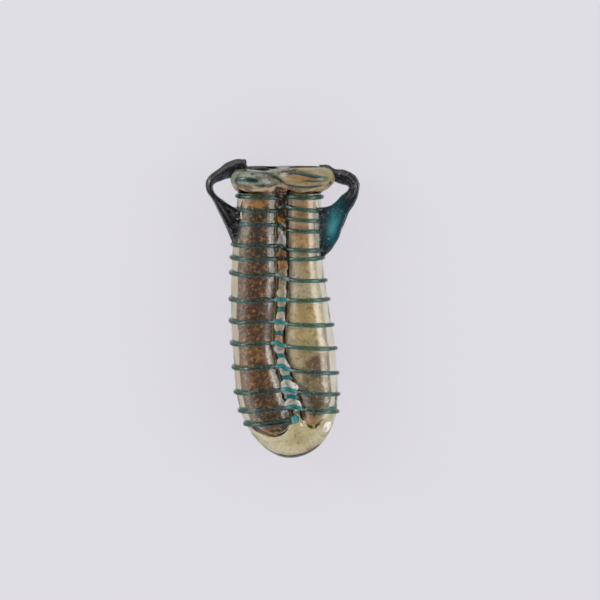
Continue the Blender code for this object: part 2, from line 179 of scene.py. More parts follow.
# Fineness of the meshes
BODY_RINGS = 210
BODY_AROUND = 176
BORE_RINGS = 130
BORE_AROUND = 72
THREAD_RINGS_PER_TURN = 92
THREAD_AROUND = 12
HANDLE_RINGS = 110
HANDLE_AROUND = 40
CRUST_RINGS = 360
CRUST_AROUND = 150
FILM_STEPS = 60
FILM_LOW = 108.0 * MM             # where the rim's weathered skin begins
FILM_TOP_TILT = 94                # degrees over the crown to where it ends
FILM_PROUD = 0.07 * MM
FILM_SUNK = 0.2 * MM
STREAK_DEPTH = 5                  # they are thin, so they take their colour faster
STREAK_HEIGHT = 0.3 * MM
BODY_TOP_TILT = 96                # degrees over the crown to where the body's cap begins
CAP_SINK = 0.5 * MM               # how deep the cap's middle is, before the bores cut it
SEPTUM_LEAST = 0.3 * MM           # half of what the mouths leave of the septum
FLUTES = 7                        # flutes round a handle

# Mix nodes for colours have their sockets behind those for numbers
MIX_A = 6
MIX_B = 7
MIX_RESULT = 2
SMOOTH = "SMOOTHSTEP"


def hex_colour(code):
    """An sRGB hex value as the linear colour that shaders take."""
    parts = [int(code[i:i + 2], 16) / 255 for i in (1, 3, 5)]
    return [p / 12.92 if p <= 0.04045 else ((p + 0.055) / 1.055) ** 2.4 for p in parts]


def colour4(code):
    return (*hex_colour(code), 1.0)


def smooth_between(low, high, value):
    """0 below low, 1 above high, with an even slope at both ends."""
    share = min(max((value - low) / (high - low), 0.0), 1.0)
    return share * share * (3.0 - 2.0 * share)


def mix(first, second, share):
    return first + (second - first) * share


def curve_through(rows, at):
    """Read every column of rows at the first column's value, on a smooth cubic curve."""
    keys = [row[0] for row in rows]
    at = min(max(at, keys[0]), keys[-1])
    index = max(i for i in range(len(rows) - 1) if keys[i] <= at)
    span = keys[index + 1] - keys[index]
    share = (at - keys[index]) / span

    def slope(i, column):
        low = max(i - 1, 0)
        high = min(i + 1, len(rows) - 1)
        return (rows[high][column] - rows[low][column]) / (keys[high] - keys[low])

    values = []
    for column in range(1, len(rows[0])):
        start = rows[index][column]
        end = rows[index + 1][column]
        leave = slope(index, column) * span
        arrive = slope(index + 1, column) * span
        values.append(
            (2 * share**3 - 3 * share**2 + 1) * start
            + (share**3 - 2 * share**2 + share) * leave
            + (3 * share**2 - 2 * share**3) * end
            + (share**3 - share**2) * arrive
        )
    return values


def rounding(height, span):
    """Half-width share of a round end that is span high: 0 at its tip, 1 past it."""
    if height >= span:
        return 1.0
    return math.sqrt(max(1.0 - (1.0 - height / span) ** 2, 0.0))


def wall_sizes(height):
    """Left edge, right edge, furrow place, half depth, half furrow thickness and how much
    of the figure of eight is left, at a height from the base tip to the rim's widest."""
    left, right, furrow = (share * BODY_WIDTH
                           for share in curve_through(OUTLINE, height / BODY_LENGTH))
    tip = TIP * BODY_WIDTH
    left = tip + (left - tip) * rounding(height, BASE_ROUND_LEFT)
    right = tip + (right - tip) * rounding(height, BASE_ROUND_RIGHT)
    neck_share = smooth_between(NECK_START, NECK_TOP, height)
    depth = mix(TUBE_DEPTH, NECK_DEPTH, neck_share) / 2
    depth *= rounding(height, BASE_ROUND_DEPTH)
    furrow_half = FURROW_THICKNESS / 2
    if height > NECK_TOP:
        below = max(RIM_WIDEST - height, 0.0) / (RIM_WIDEST - NECK_TOP)
        share = 1.0 - below ** RIM_FLANK
        left = mix(left, -RIM_WIDTH / 2, share)
        right = mix(right, RIM_WIDTH / 2, share)
        depth = mix(depth, RIM_DEPTH / 2, share)
        furrow_half = mix(furrow_half, RIM_FURROW / 2, share)
        furrow -= RIM_CREASE_SHIFT * (height - NECK_TOP) / RIM_HEIGHT
    eight = smooth_between(FURROW_END, FURROW_FULL, height)
    return left, right, furrow, depth, furrow_half, eight


def section_point(turn, sizes):
    """A point of a level section: turn is 0 at the right edge and runs over the front."""
    left, right, furrow, depth, furrow_half, eight = sizes
    cosine = math.cos(turn)
    sine = math.sin(turn)
    reach = ((2 * abs(cosine)) ** 4 + (furrow_half / max(depth, MM)) ** 4) ** 0.25
    lobe = (right - furrow if cosine > 0 else furrow - left) / 2
    eight_x = furrow + lobe * reach * cosine
    eight_z = depth * reach * sine
    round_x = (left + right) / 2 + (right - left) / 2 * cosine
    round_z = depth * sine
    return mix(round_x, eight_x, eight), mix(round_z, eight_z, eight)


def surface_point(turn, height):
    """A point on the outside, from the tip of the base to the crest of the rim."""
    if height <= RIM_WIDEST:
        x, z = section_point(turn, wall_sizes(height))
        return Vector((x, height, z))
    return crown_point(turn, math.asin(min((height - RIM_WIDEST) / RIM_CROWN, 1.0)))


def crown_point(turn, tilt):
    """A point on the rim's rounded top: tilt is 0 at its widest and a right angle on its
    crest, past which it turns down into the mouths."""
    left, right, furrow, depth, furrow_half, eight = wall_sizes(RIM_WIDEST)
    inset = RIM_CREST_INSET * (1.0 - math.cos(tilt))
    furrow -= RIM_CREASE_SHIFT * RIM_CROWN / RIM_HEIGHT * math.sin(tilt)
    sizes = (left + inset, right - inset, furrow, depth - inset, furrow_half - inset, eight)
    x, z = section_point(turn, sizes)
    front_left = max(0.0, math.cos(turn - math.radians(RIM_DIP_TOWARDS)))
    sag = RIM_DIP * front_left**2 * math.sin(min(tilt, math.pi / 2))
    return Vector((x, RIM_WIDEST + RIM_CROWN * math.sin(tilt) - sag, z))


def outward_at(turn, height):
    """The direction straight out of the surface."""
    step = 0.01
    rise = 0.4 * MM
    top = min(height + rise, BODY_LENGTH - 0.05 * MM)
    along = surface_point(turn + step, height) - surface_point(turn - step, height)
    up = surface_point(turn, top) - surface_point(turn, max(height - rise, 0.0))
    outward = up.cross(along)
    flat = Vector((along.z, 0.0, -along.x))
    if outward.dot(flat) < 0.0:
        outward.negate()
    return outward.normalized()


def turn_for(x, height, front):
    """The turn at which the front or the back of a level section lies at x."""
    low, high = 0.0, math.pi
    for _ in range(30):
        middle = (low + high) / 2
        if surface_point(middle, height).x > x:
            low = middle
        else:
            high = middle
    return low if front else -low


# The vessel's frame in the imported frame, read from the body's own box
_body_low, _body_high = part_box("tube_body")
VESSEL_PLACE = Vector((
    (CAD_BOX[0].x + CAD_BOX[1].x) / 2 + 0.1 * MM,
    _body_low.y,
    _body_low.z + RIM_DEPTH / 2 - RIM_WORN_FLAT,
))


def deselect():
    for thing in bpy.context.selected_objects:
        thing.select_set(False)


def choose(thing):
    deselect()
    thing.select_set(True)
    bpy.context.view_layer.objects.active = thing


def is_inside_out(mesh):
    total = 0.0
    for face in mesh.polygons:
        corners = [mesh.vertices[i].co for i in face.vertices]
        for i in range(1, len(corners) - 1):
            total += corners[0].dot(corners[i].cross(corners[i + 1]))
    return total < 0.0


def add_form(name, rings, around, place):
    """A closed form begun as a sphere. Each of its points goes where place puts it, by its
    share of the way from the first pole to the last and its turn about them."""
    deselect()
    bpy.ops.mesh.primitive_uv_sphere_add(segments=around, ring_count=rings, radius=1.0)
    thing = bpy.context.object
    thing.name = name
    thing.data.name = name
    for vertex in thing.data.vertices:
        x, y, z = vertex.co
        ring = round(math.atan2(math.hypot(x, y), -z) / math.pi * rings)
        turn = 2 * math.pi * round(math.atan2(y, x) / (2 * math.pi) * around) / around
        vertex.co = place(ring / rings, turn) + VESSEL_PLACE
    if is_inside_out(thing.data):
        thing.data.flip_normals()
    thing.data.update()
    return thing


def ripple(thing, layers, bias=0.0):
    """Move the points along their normals by soft noise, and none below the floor. Each
    layer is (size, height)."""
    mesh = thing.data
    moves = []
    for vertex in mesh.vertices:
        lift = bias
        for size, height in layers:
            lift += height * noise.noise(vertex.co / size)
        moves.append(vertex.normal * lift)
    for vertex, move in zip(mesh.vertices, moves):
        vertex.co += move
        vertex.co.z = max(vertex.co.z, 0.0)
    mesh.update()


def cut_away(thing, cutter):
    choose(thing)
    modifier = thing.modifiers.new("cut", "BOOLEAN")
    modifier.operation = "DIFFERENCE"
    modifier.solver = "MANIFOLD"
    modifier.object = cutter
    bpy.ops.object.modifier_apply(modifier=modifier.name)
    bpy.data.objects.remove(cutter, do_unlink=True)


def join(things, name):
    choose(things[0])
    for thing in things[1:]:
        thing.select_set(True)
    bpy.ops.object.join()
    things[0].name = name
    things[0].data.name = name
    return things[0]


def dress(thing, material, node, angle=60.0):
    """Smooth a finished piece, give it its material, let it ride on the part and stand for
    a node."""
    choose(thing)
    bpy.ops.object.shade_smooth_by_angle(angle=math.radians(angle))
    thing.data.materials.clear()
    thing.data.materials.append(material)
    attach(thing, "root")
    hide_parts(node)


# Materials

def add_node(tree, kind, values=None, output=0, stops=(), **settings):
    """Add one node with its settings, its sockets' values and a ramp's stops. A value that is
    an output is linked. The output asked for comes back, or the node where that is None."""
    node = tree.nodes.new("ShaderNode" + kind)
    for name, value in settings.items():
        setattr(node, name, value)
    for socket, value in (values or {}).items():
        if isinstance(value, bpy.types.NodeSocket):
            tree.links.new(value, node.inputs[socket])
        else:
            node.inputs[socket].default_value = value
    for i, (place, colour) in enumerate(stops):
        elements = node.color_ramp.elements
        if i == 0:
            elements.remove(elements[1])
            elements[0].position = place
            elements[0].color = colour
        else:
            elements.new(place).color = colour
    return node if output is None else node.outputs[output]


def new_material(name):
    """A bare material, its tree, the place on the piece and that place's X, Y and Z."""
    material = bpy.data.materials.new(name)
    material.use_nodes = True
    tree = material.node_tree
    tree.nodes.clear()
    place = add_node(tree, "TexCoord", output="Object")
    axes = add_node(tree, "SeparateXYZ", {"Vector": place}, None).outputs
    return material, tree, place, axes


def level_of(height):
    """A height in the vessel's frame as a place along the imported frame's Y."""
    return height + VESSEL_PLACE.y


def blown_glass():
    """Blown soda-lime glass, naturally pale green: clear, with the brownish film and the
    fine pits that burial leaves on its skin."""
    looks = bpy.context.scene.kohl_glass
    material, tree, place, axes = new_material("blown soda-lime glass, weathered")
    cloud, fine = (
        add_node(tree, "TexNoise", {"Vector": place, "Scale": 1.0 / size, "Detail": 4.0,
                                    "Roughness": broken})
        for size, broken in ((7 * MM, 0.55), (0.9 * MM, 0.65)))
    film, near_rim, in_rim, to_left, low, to_right, pits = (
        add_node(tree, "MapRange", {"Value": source, "From Min": start, "From Max": end},
                 interpolation_type=SMOOTH)
        for source, start, end in (
            (cloud, 0.42, 0.72),
            (axes["Y"], level_of(105 * MM), level_of(109 * MM)),
            (cloud, 0.2, 0.5),
            (axes["X"], -14 * MM, -18 * MM),
            (axes["Y"], level_of(26 * MM), level_of(8 * MM)),
            (axes["X"], -14 * MM, 16 * MM),
            (fine, 0.58, 0.68)))
    more_right = add_node(tree, "Math", {0: to_right, 1: 0.35}, operation="ADD")
    rim_film, low_film, pitted = (
        add_node(tree, "Math", {0: first, 1: second}, operation="MULTIPLY")
        for first, second in ((near_rim, in_rim), (low, film), (more_right, low)))
    pits = add_node(tree, "Math", {0: pits, 1: pitted}, operation="MULTIPLY")
    tint = colour4("#FBFAF6")
    for share, code, kind in (
            (film, "#F0EADC", "MIX"), (rim_film, "#A8A07C", "MIX"),
            # Darker towards the body's left edge.
            (to_left, "#E4DCD0", "MULTIPLY"), (low_film, "#CDBF98", "MIX"),
            (pits, "#4A3822", "MIX")):
        tint = add_node(tree, "Mix", {0: share, MIX_A: tint, MIX_B: colour4(code)}, MIX_RESULT,
                        data_type="RGBA", blend_type=kind)
    rough = add_node(tree, "MapRange", {"Value": cloud, "From Min": 0.35, "From Max": 0.75,
                                        "To Max": 0.08})
    bump = add_node(tree, "Bump", {"Strength": 0.12, "Distance": 0.04 * MM, "Height": fine})
    shader = add_node(tree, "BsdfPrincipled",
                      {"Transmission Weight": 1.0, "IOR": 1.5, "Base Color": tint,
                       "Roughness": rough, "Normal": bump})
    depth = add_node(tree, "VolumeAbsorption",
                     {"Color": (*looks.body_colour, 1.0), "Density": looks.body_density})
    add_node(tree, "OutputMaterial", {"Surface": shader, "Volume": depth}, None)
    return material


def lit_in_furrow(tree, axes):
    """Where the thread crosses the pale earth of the front furrow, light comes back through
    it: 1 there and 0 elsewhere. The furrow wanders, so its place is read from a ramp."""
    reach = 10.0 * MM
    levels = [(share, 0.5 + furrow * BODY_WIDTH / (2 * reach))
              for share, _, _, furrow in OUTLINE]
    along = add_node(tree, "MapRange", {"Value": axes["Y"], "From Min": level_of(0.0),
                                        "From Max": level_of(BODY_LENGTH)})
    ramp = add_node(tree, "ValToRGB", {"Fac": along},
                    stops=[(share, (level, level, level, 1.0)) for share, level in levels])
    middle = add_node(tree, "MapRange", {"Value": ramp, "To Min": -reach, "To Max": reach})
    off = add_node(tree, "Math", {0: axes["X"], 1: middle}, operation="SUBTRACT")
    off = add_node(tree, "Math", {0: off}, operation="ABSOLUTE")
    near, front, low = (
        add_node(tree, "MapRange", {"Value": source, "From Min": start, "From Max": end},
                 interpolation_type=SMOOTH)
        for source, start, end in (
            (off, 3.2 * MM, 2.0 * MM),
            (axes["Z"], VESSEL_PLACE.z, VESSEL_PLACE.z + 2 * MM),
            (axes["Y"], level_of(80 * MM), level_of(70 * MM))))
    near = add_node(tree, "Math", {0: near, 1: front}, operation="MULTIPLY")
    return add_node(tree, "Math", {0: near, 1: low}, operation="MULTIPLY")


def trailed_glass(name, colour, density, flaking=False, on_pads=False, lit=False):
    """Blue-green glass coloured by copper, trailed on hot: so deep that only thin places
    show their colour. Flakes of rusty burial crust hide some of its skin, most of all on
    the handles' pads. A lit thread shows its colour over the furrow's earth."""
    material, tree, place, axes = new_material(name)
    cloud, fine = (
        add_node(tree, "TexNoise", {"Vector": place, "Scale": 1.0 / size, "Detail": detail,
                                    "Roughness": broken})
        for size, detail, broken in ((5 * MM, 3.0, 0.55), (0.7 * MM, 4.0, 0.65)))
    from_middle = add_node(tree, "Math", {0: axes["X"]}, operation="ABSOLUTE")
    paler, room, at_pads, flakes = (
        add_node(tree, "MapRange", {"Value": source, "From Min": start, "From Max": end},
                 interpolation_type=SMOOTH)
        for source, start, end in (
            (cloud, 0.4, 0.7), (cloud, 0.5, 0.62), (from_middle, 20 * MM, 17.5 * MM),
            (fine, 0.6, 0.66)))
    if on_pads:
        room = add_node(tree, "Math", {0: room, 1: at_pads}, operation="MAXIMUM")
    covers = []
    if flaking:
        flakes = add_node(tree, "Math", {0: flakes, 1: room}, operation="MULTIPLY")
        covers.append((flakes, "#A87858", 0.85))
    if lit:
        covers.append((lit_in_furrow(tree, axes), "#2E9E9C", 0.6))
    tint = add_node(tree, "Mix", {0: paler, MIX_A: colour4("#FFFFFF"),
                                  MIX_B: colour4("#DCEBE6")}, MIX_RESULT, data_type="RGBA")
    clear = 1.0
    for share, code, hides in covers:
        tint = add_node(tree, "Mix", {0: share, MIX_A: tint, MIX_B: colour4(code)}, MIX_RESULT,
                        data_type="RGBA")
        hidden = add_node(tree, "Math", {0: share, 1: hides}, operation="MULTIPLY")
        clear = add_node(tree, "Math", {0: clear, 1: hidden}, operation="SUBTRACT")
    rough = add_node(tree, "MapRange", {"Value": fine, "From Min": 0.35, "From Max": 0.7,
                                        "To Min": 0.06, "To Max": 0.3})
    bump = add_node(tree, "Bump", {"Strength": 0.3, "Distance": 0.06 * MM, "Height": fine})
    shader = add_node(tree, "BsdfPrincipled",
                      {"Transmission Weight": clear, "IOR": 1.52, "Base Color": tint,
                       "Roughness": rough, "Normal": bump})
    depth = add_node(tree, "VolumeAbsorption",
                     {"Color": (*colour, 1.0), "Density": density})
    add_node(tree, "OutputMaterial", {"Surface": shader, "Volume": depth}, None)
    return material


def deposit(name, zones, fleck_colour, dark_colour, grit, strength, patches=()):
    """Dried earth and burial crust: matt and crumbly, each grain of its own shade. Zones are
    (height in mm, hex value) up the vessel, and strength says how far the grains differ.
    Patches are (x, y, radius in mm, hex value), each a stain with a broken edge, except the
    left tube's two grey ones, which are painted reflections."""
    material, tree, place, axes = new_material(name)
    drift, lumps, crumbs, clusters = (
        add_node(tree, "TexNoise", {"Vector": place, "Scale": 1.0 / size, "Detail": detail,
                                    "Roughness": broken})
        for size, detail, broken in (
            (6 * MM, 4.0, 0.55), (1.8 * MM, 5.0, 0.7), (3.4 * grit, 6.0, 0.75),
            (3.2 * MM, 3.0, 0.55)))
    wander = add_node(tree, "Math", {0: drift, 1: 0.5}, operation="SUBTRACT")
    along = add_node(tree, "Math", {0: wander, 1: 22 * MM, 2: axes["Y"]},
                     operation="MULTIPLY_ADD")
    share = add_node(tree, "MapRange", {"Value": along, "From Min": level_of(0.0),
                                        "From Max": level_of(BODY_LENGTH)})
    colour = add_node(tree, "ValToRGB", {"Fac": share},
                      stops=[(height * MM / BODY_LENGTH, colour4(code))
                             for height, code in zones])
    flat = add_node(tree, "CombineXYZ", {"X": axes["X"], "Y": axes["Y"]})
    for x, height, radius, code in patches:
        centre = (x * MM + VESSEL_PLACE.x, level_of(height * MM), 0.0)
        distance = add_node(tree, "VectorMath", {0: flat, 1: centre}, "Value",
                            operation="DISTANCE")
        ragged = add_node(tree, "Math", {0: wander, 1: 1.6 * radius * MM, 2: distance},
                          operation="MULTIPLY_ADD")
        near = add_node(tree, "MapRange", {"Value": ragged, "From Min": radius * MM,
                                           "From Max": 0.6 * radius * MM},
                        interpolation_type=SMOOTH)
        colour = add_node(tree, "Mix", {0: near, MIX_A: colour, MIX_B: colour4(code)},
                          MIX_RESULT, data_type="RGBA")
    grains = add_node(tree, "TexVoronoi", {"Vector": place, "Scale": 1.0 / grit}, "Color",
                      feature="F1")
    chance = add_node(tree, "SeparateColor", {"Color": grains})
    chance = add_node(tree, "Math", {0: chance, 1: 0.5, 2: lumps}, operation="MULTIPLY_ADD")
    chance = add_node(tree, "Math", {0: crumbs, 1: 4.5, 2: chance}, operation="MULTIPLY_ADD")
    chance = add_node(tree, "Math", {0: chance, 1: 2.5}, operation="SUBTRACT")
    for source, start, end, most, code in (
            (clusters, 0.62, 0.36, 0.45 * strength, dark_colour),
            (chance, 0.62, 1.05, strength, fleck_colour),
            (chance, 0.4, 0.0, strength, dark_colour)):
        share = add_node(tree, "MapRange", {"Value": source, "From Min": start,
                                            "From Max": end, "To Max": most},
                         interpolation_type=SMOOTH)
        colour = add_node(tree, "Mix", {0: share, MIX_A: colour, MIX_B: colour4(code)},
                          MIX_RESULT, data_type="RGBA")
    bump = add_node(tree, "Bump", {"Strength": 0.9, "Distance": 0.2 * MM, "Height": chance})
    shader = add_node(tree, "BsdfPrincipled",
                      {"Roughness": 0.6, "Specular IOR Level": 0.4, "Base Color": colour,
                       "Normal": bump})
    add_node(tree, "OutputMaterial", {"Surface": shader}, None)
    return material


def weathered_skin():
    """Glass skin gone cloudy in the ground: olive and grey-green on the left lip, brown and
    orange towards the right, glossy where it is whole and dull where it flakes."""
    material, tree, place, axes = new_material("weathered skin of the rim")
    long = add_node(tree, "Mapping", {"Vector": place, "Scale": (0.35, 1.0, 1.0)})
    cloud, fine = (
        add_node(tree, "TexNoise", {"Vector": vector, "Scale": 1.0 / size, "Detail": 4.0,
                                    "Roughness": broken})
        for vector, size, broken in ((long, 3.0 * MM, 0.6), (place, 0.8 * MM, 0.7)))
    to_right, dull, under, caked, pale, pits = (
        add_node(tree, "MapRange", {"Value": source, "From Min": start, "From Max": end},
                 interpolation_type=SMOOTH)
        for source, start, end in (
            (axes["X"], -6 * MM, 2 * MM), (cloud, 0.42, 0.6),
            (axes["Y"], level_of(111 * MM), level_of(109.4 * MM)),
            (cloud, 0.44, 0.56), (fine, 0.58, 0.7), (fine, 0.42, 0.32)))
    colour, right, earthy = (
        add_node(tree, "Mix", {0: share, MIX_A: colour4(clean), MIX_B: colour4(stained)},
                 MIX_RESULT, data_type="RGBA")
        for share, clean, stained in (
            (dull, "#6E7A6A", "#4E463A"), (dull, "#847C56", "#80592F"),
            (caked, "#A08864", "#5A4430")))
    for share, layer in ((to_right, right), (under, earthy), (pale, colour4("#B8A478")),
                         (pits, colour4("#4A4030"))):
        colour = add_node(tree, "Mix", {0: share, MIX_A: colour, MIX_B: layer}, MIX_RESULT,
                          data_type="RGBA")
    rough = add_node(tree, "MapRange", {"Value": cloud, "From Min": 0.4, "From Max": 0.65,
                                        "To Min": 0.15, "To Max": 0.5})
    bump = add_node(tree, "Bump", {"Strength": 0.4, "Distance": 0.1 * MM, "Height": fine})
    shader = add_node(tree, "BsdfPrincipled",
                      {"IOR": 1.5, "Base Color": colour, "Roughness": rough, "Normal": bump})
    add_node(tree, "OutputMaterial", {"Surface": shader}, None)
    return material


def painted_board():
    """Pale matt board lit evenly from below and above, as in a catalogue photograph."""
    looks = bpy.context.scene.kohl_stage
    material = bpy.data.materials.new("pale matt board")
    material.use_nodes = True
    shader = material.node_tree.nodes["Principled BSDF"]
    for socket, value in (
            ("Base Color", (*looks.floor_colour, 1.0)), ("Roughness", 1.0),
            ("Specular IOR Level", 0.0), ("Emission Color", (*looks.glow_colour, 1.0)),
            ("Emission Strength", looks.glow)):
        shader.inputs[socket].default_value = value
    return material


# Forms

def body_place(share, turn):
    """The outside of the body: base, wall, rim and its crown, closed over the mouths."""
    base_share, wall_share, flank_share, crown_share = 0.24, 0.82, 0.88, 0.96
    if share <= base_share:
        height = BASE_ROUND_RIGHT * (1.0 - math.cos(math.pi / 2 * share / base_share))
        return surface_point(turn, height)
    if share <= wall_share:
        part = (share - base_share) / (wall_share - base_share)
        return surface_point(turn, mix(BASE_ROUND_RIGHT, NECK_TOP, part))
    if share <= flank_share:
        part = (share - wall_share) / (flank_share - wall_share)
        return surface_point(turn, mix(NECK_TOP, RIM_WIDEST, part))
    top_tilt = math.radians(BODY_TOP_TILT)
    if share <= crown_share:
        part = (share - flank_share) / (crown_share - flank_share)
        return crown_point(turn, top_tilt * part)
    part = (share - crown_share) / (1.0 - crown_share)
    edge = crown_point(turn, top_tilt)
    middle = Vector((-0.02 * BODY_WIDTH, BODY_LENGTH - CAP_SINK, 0.0))
    return edge.lerp(middle, part)


def floor_of(side, inset):
    """Height of a bore's floor, and over how much height the bore closes to it."""
    if side < 0:
        return LEFT_FLOOR + inset, LEFT_FLOOR_ROUND
    return RIGHT_FLOOR + inset, RIGHT_FLOOR_ROUND


def bore_point(side, turn, height, inset=0.0):
    """A point of a bore's wall. Inset draws it in towards the middle of the bore."""
    left, right, furrow, depth, furrow_half, eight = wall_sizes(min(height, NECK_TOP))
    flare_start = BODY_LENGTH + MOUTH_OVER - MOUTH_FLARE
    share = smooth_between(NECK_TOP, flare_start, height)
    widen = -inset
    if height > flare_start:
        rise = min((height - flare_start) / MOUTH_FLARE, 1.0)
        widen += (RIM_THICKNESS - RIM_CREST_INSET) * (1.0 - math.sqrt(1.0 - rise**2))
    edge = (left if side < 0 else right) - side * WALL
    edge = mix(edge, side * (RIM_WIDTH / 2 - RIM_THICKNESS), share) + side * widen
    inner = furrow + side * (SEPTUM / 2 - min(widen, SEPTUM / 2 - SEPTUM_LEAST))
    half_depth = mix(depth - WALL, RIM_DEPTH / 2 - RIM_THICKNESS, share) + widen
    floor, floor_round = floor_of(side, inset)
    close = rounding(max(height - floor, 0.0), floor_round)
    centre = (edge + inner) / 2
    if side > 0:
        centre -= FLOOR_SHIFT * (1.0 - smooth_between(0.0, 2.5 * floor_round, height - floor))
    half_width = abs(edge - inner) / 2
    return Vector((centre + half_width * close * math.cos(turn), height,
                   half_depth * close * math.sin(turn)))


def bore_height(side, share, inset, top):
    """Heights that crowd together where the floor of a bore rounds up."""
    floor, floor_round = floor_of(side, inset)
    round_share = 0.16
    if share < round_share:
        return floor + floor_round * (1.0 - math.cos(math.pi / 2 * share / round_share))
    return mix(floor + floor_round, top, (share - round_share) / (1.0 - round_share))


def make_bore(side):
    """The hollow of one tube, carried on past the rim so that it cuts the mouth open."""
    past = 0.97
    top = BODY_LENGTH + MOUTH_OVER

    def place(share, turn):
        if share <= past:
            return bore_point(side, turn, bore_height(side, share / past, 0.0, top))
        rise = Vector((0.0, RIM_CROWN, 0.0))
        centre = (bore_point(side, 0.0, top) + bore_point(side, math.pi, top)) / 2
        return bore_point(side, turn, top).lerp(centre, (share - past) / (1.0 - past)) + rise

    return add_form("bore", BORE_RINGS, BORE_AROUND, place)


def crust_form(side, gap, thickness, top):
    """The skin of dried earth inside one tube: up its outer side, over and down again."""
    def place(share, turn):
        outside = share <= 0.5
        inset = gap if outside else gap + thickness
        part = 2 * share if outside else 2 * (1.0 - share)
        height = bore_height(side, part, inset, top)
        return bore_point(side, turn, height, inset)

    return add_form("crust", CRUST_RINGS, CRUST_AROUND, place)


def thread_place(turn_count):
    """Angle and height of the thread after a count of turns from the drop."""
    rows = [(-THREAD_LEAD, THREAD_START)]
    for i, (left_share, right_share) in enumerate(zip(TURNS_LEFT, TURNS_RIGHT)):
        following = TURNS_LEFT[i + 1] if i + 1 < len(TURNS_LEFT) else THREAD_END
        climb = LOW_TURNS_RISE * max(0.0, 1.0 - i / 6)
        rows.append((i + 0.25, left_share))
        rows.append((i + 0.5, (left_share + right_share) / 2))
        rows.append((i + 0.75, right_share))
        rows.append((i + 1.0 - FURROW_STEP, mix(right_share, following, 0.35) + climb))
        rows.append((i + 1.0 + FURROW_STEP, mix(right_share, following, 0.92) + climb))
    share = curve_through(rows, turn_count)[0]
    return math.pi / 2 + 2 * math.pi * turn_count, share * BODY_LENGTH


def tube_along(name, rings, around, spine):
    """A round rod along a line on the body. Spine gives, for a share of the way, the point
    on the surface, the outward direction, the lift of the middle, and the half width and
    half height there."""
    made = {}

    def ring_at(share):
        if share not in made:
            point, outward, lift, half_width, half_height = spine(share)
            step = 0.3 / rings
            ahead = spine(min(share + step, 1.0))[0]
            behind = spine(max(share - step, 0.0))[0]
            along = (ahead - behind).normalized()
            across = outward.cross(along).normalized()
            end = min(share, 1.0 - share) * rings / 6
            close = rounding(end, 1.0)
            made[share] = (point + outward * lift, across * half_width * close,
                           outward * half_height * close)
        return made[share]

    def place(share, turn):
        centre, wide, high = ring_at(share)
        return centre + wide * math.cos(turn) + high * math.sin(turn)

    return add_form(name, rings, around, place)


def make_thread():
    sizes = bpy.context.scene.kohl_applied

    def spine(share):
        count = -THREAD_LEAD + (TURNS + THREAD_LEAD) * share
        turn, height = thread_place(count)
        drop = math.exp(-((count + THREAD_LEAD) / 0.12) ** 2)
        wobble = 1.0 + 0.1 * noise.noise(Vector((count * 3.1, 0.0, 7.0)))
        swell = (1.0 + THREAD_DROP * drop) * wobble
        bridge = FURROW_BRIDGE * abs(math.sin(turn)) ** 24
        half = sizes.thread_width / 2 * swell
        return (surface_point(turn, height), outward_at(turn, height),
                sizes.thread_lift + bridge, half, half)

    rings = round(TURNS * THREAD_RINGS_PER_TURN)
    return tube_along("thread", rings, THREAD_AROUND, spine)


def make_handle(name, side, loop, pad_turn_height, reach, pad_depth, strap_depth, hollow,
                fin_middle):
    """One handle as a rod drawn out of a blob: flutes run along it, its fin is hollowed and
    its upper end is broken off."""
    rise = BODY_LENGTH - pad_turn_height
    foot_low = pad_turn_height
    left, right = wall_sizes(mix(foot_low, BODY_LENGTH, PAD_MIDDLE))[:2]
    wall_edge = left if side < 0 else right
    rim_edge = side * RIM_WIDTH / 2
    rows = [(i, *inner, *outer, depth, by_rim)
            for i, (inner, outer, depth, by_rim) in enumerate(loop)]
    caps = 0.04

    def place(share, turn):
        part = min(max((share - caps) / (1.0 - 2 * caps), 0.0), 1.0)
        in_x, in_y, out_x, out_y, depth, by_rim = curve_through(rows, part * (len(loop) - 1))
        edge = mix(wall_edge, rim_edge, by_rim)
        inner = Vector((edge + side * in_x * reach, foot_low + in_y * rise, 0.0))
        outer = Vector((edge + side * out_x * reach, foot_low + out_y * rise, 0.0))
        half_depth = mix(strap_depth, pad_depth, smooth_between(STRAP, 1.0, depth)) / 2
        half_depth *= min(depth / STRAP, 1.0)
        close = min(share, 1.0 - share) / caps
        if close < 1.0:
            inner, outer = (inner.lerp(outer, (1.0 - close) / 2),
                            outer.lerp(inner, (1.0 - close) / 2))
            half_depth *= close
        cosine = math.cos(turn)
        sine = math.sin(turn)
        fin = math.exp(-((part - fin_middle) / 0.18) ** 2)
        thin = 1.0 - hollow * fin * (1.0 - abs(cosine) ** 3)
        wave = math.sin(FLUTES * turn + 6 * part) * math.sin(math.pi * part)
        flute = 1.0 + (0.08 + 0.1 * fin) * wave
        middle = (inner + outer) / 2
        point = middle + (outer - inner) / 2 * cosine * mix(1.0, flute, 0.4)
        point.z = half_depth * sine * thin * flute
        if share > 1.0 - 1.5 * caps:
            tear = noise.noise(Vector((turn * 1.7, point.z / MM * 0.5, side * 3.0)))
            point.x -= side * 0.9 * MM * tear
        return point

    return add_form(name, HANDLE_RINGS, HANDLE_AROUND, place)


